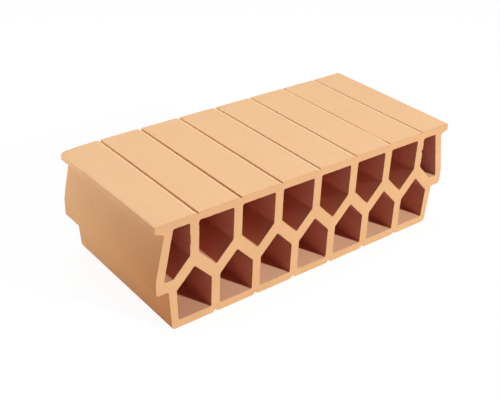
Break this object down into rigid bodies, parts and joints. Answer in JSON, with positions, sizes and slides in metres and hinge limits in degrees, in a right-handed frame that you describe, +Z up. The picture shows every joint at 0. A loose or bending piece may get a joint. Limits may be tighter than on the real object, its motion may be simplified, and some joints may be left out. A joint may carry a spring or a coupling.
{
  "type": "hollow clay floor block",
  "caption": "Extruded hollow clay block with two rows of cells either side of a folded web; it spans between floor beams on the seats under its shoulders.",
  "frame": {"origin": "middle of the underside, on the floor that the block lies on", "axes": "+X across the block from beam to beam, +Y along the extrusion and the cells, +Z up"},
  "size_m": [0.54, 0.25, 0.17],
  "materials": {
    "fired_clay": "matte, unglazed, wire-cut at the ends"
  },
  "bodies": {
    "root": {"floor_block": "fired_clay"}
  },
  "joints": []
}
